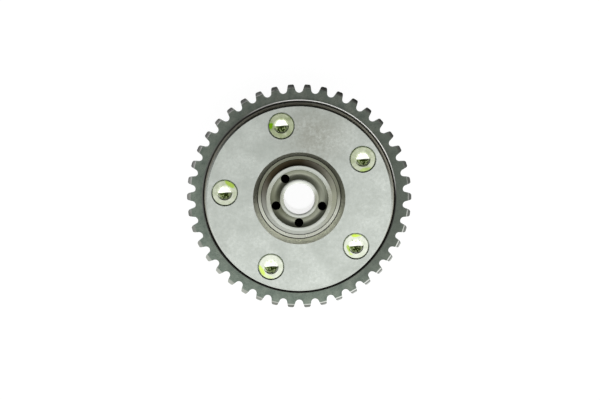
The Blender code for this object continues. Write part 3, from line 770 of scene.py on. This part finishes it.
def box_cutter(length, width, low, high, start):
    """Square sided cutter that reaches out along +X."""
    bpy.ops.object.select_all(action="DESELECT")
    bpy.ops.mesh.primitive_cube_add(
        size=1.0, location=((start + length / 2) * MM, 0.0, (low + high) / 2 * MM))
    cutter = bpy.context.object
    cutter.scale = (length * MM, width * MM, (high - low) * MM)
    bpy.ops.object.transform_apply(location=True, rotation=True, scale=True)
    return cutter


slot_width = 3.6
slot_depth = 6.4
slot = box_cutter(hub_radius, slot_width, housing_low - overshoot, housing_high + overshoot,
                  hub_radius - slot_depth)
cut_out(rotor, copies_round(slot, CHAMBERS, first=rotor_rest))


def place_cutter(profile, x, y, steps=48):
    """Round hole along the axis at a place given in mm."""
    hole = lathe("hole", profile, steps, filled=True)
    hole.data.transform(Matrix.Translation((x * MM, y * MM, 0.0)))
    return hole


oil_hole = 2.15
oil_hole_floor = pilot_top + 2.5
hole_offset = 0.75
for i in range(1, CHAMBERS):
    angle = math.radians(rotor_rest + hole_offset + chamber_step * i)
    cut_out(rotor, place_cutter([(oil_hole, oil_hole_floor), (oil_hole, nose_top + overshoot)],
                                groove_middle * math.cos(angle),
                                groove_middle * math.sin(angle)))


port_radius = 1.1


def port_cutter(near_radius, near_turn, far_radius, far_turn, height):
    """Drilled oil way across the axis, between two places given by radius and angle."""
    ends = []
    for reach, turn in ((near_radius, near_turn), (far_radius, far_turn)):
        turn = math.radians(turn)
        ends.append(Vector((reach * math.cos(turn), reach * math.sin(turn), height)) * MM)
    way = ends[1] - ends[0]
    bpy.ops.object.select_all(action="DESELECT")
    bpy.ops.mesh.primitive_cylinder_add(vertices=32, radius=port_radius * MM, depth=way.length,
                                        location=(ends[0] + ends[1]) / 2,
                                        rotation=(0.0, math.pi / 2, math.atan2(way.y, way.x)))
    port = bpy.context.object
    bpy.ops.object.transform_apply(location=True, rotation=True, scale=True)
    return port


for i in range(1, CHAMBERS):
    angle = rotor_rest + chamber_step * i
    cut_out(rotor, port_cutter(groove_middle, angle + hole_offset, hub_radius + overshoot,
                               angle - 14.0, oil_hole_floor + 2.1))
rear_port = port_cutter(pilot_radius - 1.0, rotor_rest + 10.0, hub_radius + overshoot,
                        rotor_rest + 10.0, pilot_top - 3.6)
cut_out(rotor, copies_round(rear_port, CHAMBERS))
pin_low, pin_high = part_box("locking_pin")
pin_middle = (pin_low + pin_high) / 2
pin_bore = 3.2
cut_out(rotor, place_cutter([(pin_bore, housing_low - overshoot),
                             (pin_bore, housing_high + overshoot)],
                            pin_middle.x / MM, pin_middle.y / MM))
dowel_low, dowel_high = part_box("camshaft_dowel")
dowel_middle = (dowel_low + dowel_high) / 2
dowel_hole = 2.3
cut_out(rotor, place_cutter([(dowel_hole, pilot_top - overshoot), (dowel_hole, pilot_top + 5.8)],
                            dowel_middle.x / MM, dowel_middle.y / MM))
ease_edges(rotor, 0.1)
# Painted shade: darker at the right and left sides of the turned steel and the collar.
side_shades = [((0.34, 0.35, 0.28), -2.0, 0.82, 0.99), ((0.42, 0.435, 0.365), 178.0, 0.82, 0.99)]
turned = make_turned("turned steel", (0.465, 0.49, 0.44), (0.555, 0.58, 0.53), 0.26, side_shades)
# Painted shade: the nose's side is dark brown towards the top.
nose_side = make_turned("bright turned side with painted shade", (0.80, 0.81, 0.74), (0.92, 0.93, 0.86), 0.2,
                        [((0.16, 0.13, 0.08), 100.0, -0.1, 0.7)])
# Painted shade: the nose's oil groove is olive and darker towards the left.
olive_groove = make_turned("olive groove steel with painted shade", (0.26, 0.275, 0.21), (0.335, 0.35, 0.28), 0.5,
                    [((0.20, 0.21, 0.15), -165.0, 0.5, 0.95)])
# Painted shade: the hub face is dark brown towards the top and a little darker and yellower towards
# the right.
hub_face_shade = make_turned("hub face with painted shade", (0.46, 0.48, 0.43), (0.54, 0.56, 0.51), 0.44,
                          [((0.42, 0.43, 0.33), 0.0, 0.5, 1.0),
                           ((0.10, 0.08, 0.045), 112.0, -0.3, 0.9)])
# Painted shade: the oil holes and a thin ring under the lip are coloured black.
black_shade = make_turned("black painted shade", (0.004, 0.004, 0.004), (0.008, 0.008, 0.007), 0.6)
# Painted light: the top edge of the bore is coloured nearly white.
bore_edge_light = make_turned("bore edge with painted light", (0.90, 0.91, 0.88), (0.97, 0.98, 0.95), 0.3, metallic=0.3)
# Painted light: the collar is lighter towards the top, and the side shades darken its right and
# left.
collar_light = make_turned("collar with painted light", (0.415, 0.435, 0.39), (0.495, 0.515, 0.47), 0.26,
                         [((0.68, 0.705, 0.645), 90.0, -0.5, 1.0), *side_shades])
bore_wall = make_turned("polished bore", (0.96, 0.97, 0.94), (1.0, 1.0, 0.98), 0.12)
dress(rotor, "rotor", "turned_steel", turned, olive_groove, hub_face_shade, black_shade, nose_side,
      bore_edge_light, bore_wall, collar_light)


def is_oil_hole(radius, height, face):
    """Whether a face is part of the wall or the floor of an oil hole."""
    if not collar_radius < radius < ring_radius:
        return False
    if not oil_hole_floor - 0.2 < height < collar_top - 0.35:
        return False
    for i in range(1, CHAMBERS):
        angle = math.radians(rotor_rest + hole_offset + chamber_step * i)
        spot = Vector((math.cos(angle), math.sin(angle))) * groove_middle * MM
        near = (face.center.to_2d() - spot).length < (oil_hole + 0.05) * MM
        if near and abs(face.normal.z) < 0.2:
            return True
    return height < oil_hole_floor + 0.2


paint_faces(rotor, olive_groove, lambda radius, height, face:
            9.5 < radius < 14.1 and height > oil_hole_floor)
paint_faces(rotor, hub_face_shade, lambda radius, height, face:
            radius > nose_radius - 0.02 and height > housing_high - 0.1)
paint_faces(rotor, black_shade, lambda radius, height, face:
            dark_inner < radius < dark_outer and height > housing_high - 0.1)
paint_faces(rotor, black_shade, is_oil_hole)
paint_faces(rotor, nose_side, lambda radius, height, face:
            abs(radius - nose_radius) < 0.05 and abs(face.normal.z) < 0.3
            and height > housing_high)
paint_faces(rotor, bore_wall, lambda radius, height, face:
            radius < bore_radius + 0.02 and height > pilot_top + 0.2)
paint_faces(rotor, bore_edge_light, lambda radius, height, face:
            radius < bore_radius + 0.16 and height > collar_top - 0.3)
paint_faces(rotor, collar_light, lambda radius, height, face:
            bore_radius + 0.16 < radius < collar_radius + 0.1 and height > collar_top - 0.1)
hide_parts("rotor")

# Cover bolts: yellow zinc plated steel, with low round heads that sit flush in the plate
# and hold the three layers together. The driver recess is a bowl with six faint lobes.
bolt_low, bolt_high = bottom_and_top("cover_bolt_1")
head_seat = plate_face - 3.9
head_radius = 6.25
shank_radius = 4.0


def six_lobe_cutter():
    """Driver recess: a bowl whose six lobes run out towards its rounded bottom."""
    mouth = 3.25
    bowl = [(0.05, -2.1), (0.8, -1.95), (1.6, -1.5), (2.5, -0.95), (mouth, -0.3),
            (mouth, overshoot)]
    cutter = lathe("driver_recess", [(reach, bolt_high + depth) for reach, depth in bowl],
                   96, filled=True)
    for vertex in cutter.data.vertices:
        reach = radius_of(vertex.co)
        turn = math.atan2(vertex.co.y, vertex.co.x)
        lobe = 0.17 * (reach / mouth) ** 3 * math.cos(6 * turn)
        vertex.co.x *= 1 + lobe / reach
        vertex.co.y *= 1 + lobe / reach
    return cutter


def make_zinc(blooms):
    """Yellow zinc plate: cream, duller towards the top as painted shade, green yellow bloom in
    places.

    The driver recess has painted light and shade: bright cream where its faces turn down,
    green and flecked where they turn up.
    """
    metal, tree, shader, place = new_metal("yellow zinc")
    haze = noise(tree, place, 420.0, 4.0)
    veil = spread(tree, haze, 0.35, 0.65, 0.0, 1.0)
    bright = blend_colours(tree, veil, (0.60, 0.645, 0.52), (0.71, 0.735, 0.65))
    zinc_top_shade = blend_colours(tree, veil, (0.325, 0.375, 0.21), (0.51, 0.555, 0.39))
    # Painted shade: duller towards the top.
    colour = blend_colours(tree, side_mask(tree, place, 95.0, -0.5, 0.85, 0.1), bright, zinc_top_shade)
    for x, y, turn, length, width, strength, tint in blooms:
        way = node(tree, "Mapping", vector_type="TEXTURE",
                   inputs={"Vector": place, "Location": (x, y, bolt_high * MM),
                           "Rotation": (0.0, 0.0, turn), "Scale": (width, length, 1.0)})
        reach = vectors(tree, "LENGTH", way.outputs[0])["Value"]
        uneven = maths(tree, "MULTIPLY_ADD", haze, -1.6, reach)
        colour = blend_colours(tree, spread(tree, uneven, -0.15, 0.25, strength, 0.0), colour, tint)
    # Painted light and shade in the driver recess: cream where its faces turn down, green flecks
    # where they turn up.
    height = node(tree, "SeparateXYZ", inputs={0: place}).outputs["Z"]
    depth = spread(tree, height, (bolt_high - 0.6) * MM, (bolt_high - 0.3) * MM, 1.0, 0.0)
    colour = blend_colours(tree, depth, colour, (0.87, 0.90, 0.79))
    facing = node(tree, "TexCoord").outputs["Normal"]
    slope = node(tree, "SeparateXYZ", inputs={0: facing}).outputs["Y"]
    low = maths(tree, "MULTIPLY", depth, spread(tree, slope, 0.05, 0.2, 0.0, 1.0))
    fleck = noise(tree, place, 1100.0)
    shallow = spread(tree, height, (bolt_high - 1.9) * MM, (bolt_high - 0.4) * MM, -0.08, 0.08)
    flecks = spread(tree, maths(tree, "ADD", fleck, shallow), 0.48, 0.56, 0.0, 1.0)
    green = blend_colours(tree, flecks, (0.26, 0.40, 0.07), (0.66, 0.80, 0.38))
    chalky = maths(tree, "MULTIPLY", flecks, low)
    tree.links.new(spread(tree, chalky, 0.0, 1.0, 1.0, 0.35), shader.inputs["Metallic"])
    tree.links.new(blend_colours(tree, low, colour, green), shader.inputs["Base Color"])
    grain = grouped(tree, steel_grain, place)
    rough = spread(tree, grain.outputs["Scratch"], 0.3, 0.7, 0.14, 0.28)
    tree.links.new(rough, shader.inputs["Roughness"])
    dents = maths(tree, "MULTIPLY", fleck, low)
    relief = maths(tree, "MULTIPLY_ADD", dents, 60.0, grain.outputs["Scratch"])
    bumped(tree, shader, relief, 0.004, 0.6)
    return metal


def bloom_places():
    """Where the bloom lies: bolt, clock angle, radius, length, width, strength and tint."""
    deep, olive, fresh = (0.17, 0.38, 0.005), (0.36, 0.53, 0.03), (0.58, 0.78, 0.05)
    spots = [(1, 285, 5.1, 3.0, 1.0, 0.6, olive), (2, 183, 5.1, 2.4, 1.3, 1.0, deep),
             (3, 58, 5.0, 3.2, 1.2, 0.85, olive), (4, 200, 5.0, 2.6, 1.2, 0.8, fresh),
             (4, 252, 5.1, 3.4, 1.0, 0.35, fresh), (5, 90, 5.2, 2.4, 0.9, 0.9, fresh),
             (5, 200, 3.8, 2.3, 0.9, 0.85, olive), (5, 238, 4.6, 1.4, 0.7, 0.6, fresh)]
    places = []
    for bolt, angle, radius, length, width, strength, tint in spots:
        low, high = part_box(f"cover_bolt_{bolt}")
        middle, turn = (low + high) / 2, math.radians(angle)
        x = middle.x + radius * MM * math.cos(turn)
        y = middle.y + radius * MM * math.sin(turn)
        places.append((x, y, turn, length * MM, width * MM, strength, tint))
    return places


zinc = make_zinc(bloom_places())
model = lathe("bolt_model", [
    (shank_radius - 0.8, bolt_low),
    (shank_radius, bolt_low + 0.8),
    (shank_radius, head_seat),
    (head_radius, head_seat),
    (head_radius, bolt_high - 0.4),
    (head_radius - 0.4, bolt_high),
    (3.7, bolt_high),
    (3.4, bolt_high - 0.3),
], 96, filled=True)
cut_out(model, six_lobe_cutter())
ease_edges(model, 0.1, angle=32.0)
for i in range(CHAMBERS):
    low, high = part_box(f"cover_bolt_{i + 1}")
    middle = (low + high) / 2
    bolt = model.copy()
    bolt.data = model.data.copy()
    bolt.name = f"plated_bolt_{i + 1}"
    scene.collection.objects.link(bolt)
    bolt.data.transform(Matrix.Translation((middle.x, middle.y, 0.0)))
    dress(bolt, "stator", "zinc_plate", zinc)
    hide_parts(f"cover_bolt_{i + 1}")
bpy.data.objects.remove(model, do_unlink=True)


# Inner pieces of hardened and spring steel. The vanes, pin, bush, plug, dowel and leaf
# springs keep their solids; the coil spring is wound finer.
def make_hard(name, dark, light, roughness):
    """Hardened and ground steel, darker than the plates."""
    metal, tree, shader, place = new_metal(name)
    grain = grouped(tree, steel_grain, place)
    mask = spread(tree, grain.outputs["Scratch"], 0.35, 0.65, 0.0, 1.0)
    tree.links.new(blend_colours(tree, mask, dark, light), shader.inputs["Base Color"])
    rough = spread(tree, grain.outputs["Cloud"], 0.3, 0.7, roughness - 0.05, roughness + 0.08)
    tree.links.new(rough, shader.inputs["Roughness"])
    bumped(tree, shader, grain.outputs["Scratch"], 0.004, 0.4)
    return metal


hardened = make_hard("hardened steel", (0.36, 0.36, 0.37), (0.48, 0.48, 0.49), 0.26)
spring_steel = make_hard("spring steel", (0.22, 0.22, 0.24), (0.34, 0.34, 0.36), 0.34)
for name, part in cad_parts.items():
    if not part.hide_render:
        is_spring = "spring_" in name and "retainer" not in name
        part.data.materials.clear()
        part.data.materials.append(spring_steel if is_spring else hardened)

spring_low, spring_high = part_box("lock_spring")
spring_middle = (spring_low + spring_high) / 2
wire = 0.3
coil_radius = (spring_high.x - spring_low.x) / 2 - wire * MM
bpy.ops.object.select_all(action="DESELECT")
bpy.ops.mesh.primitive_circle_add(
    vertices=16, radius=wire * MM, location=(coil_radius, 0.0, spring_low.z + wire * MM),
    rotation=(math.pi / 2, 0.0, 0.0))
coil = bpy.context.object
coil.name = "coil_spring"
bpy.ops.object.transform_apply(location=True, rotation=True, scale=True)
winding = coil.modifiers.new("winding", "SCREW")
winding.iterations = 6
winding.screw_offset = (spring_high.z - spring_low.z - 2 * wire * MM) / winding.iterations
winding.steps = winding.render_steps = 36
bpy.ops.object.modifier_apply(modifier=winding.name)
bpy.ops.object.mode_set(mode="EDIT")
bpy.ops.mesh.select_all(action="DESELECT")
bpy.ops.mesh.select_non_manifold()
bpy.ops.mesh.edge_face_add()
bpy.ops.mesh.select_all(action="SELECT")
bpy.ops.mesh.normals_make_consistent(inside=False)
bpy.ops.object.mode_set(mode="OBJECT")
bpy.ops.object.shade_smooth_by_angle(angle=math.radians(40))
coil.data.transform(Matrix.Translation((spring_middle.x, spring_middle.y, 0.0)))
dress(coil, "rotor", "spring_steel", spring_steel)
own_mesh(coil)
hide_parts("lock_spring")
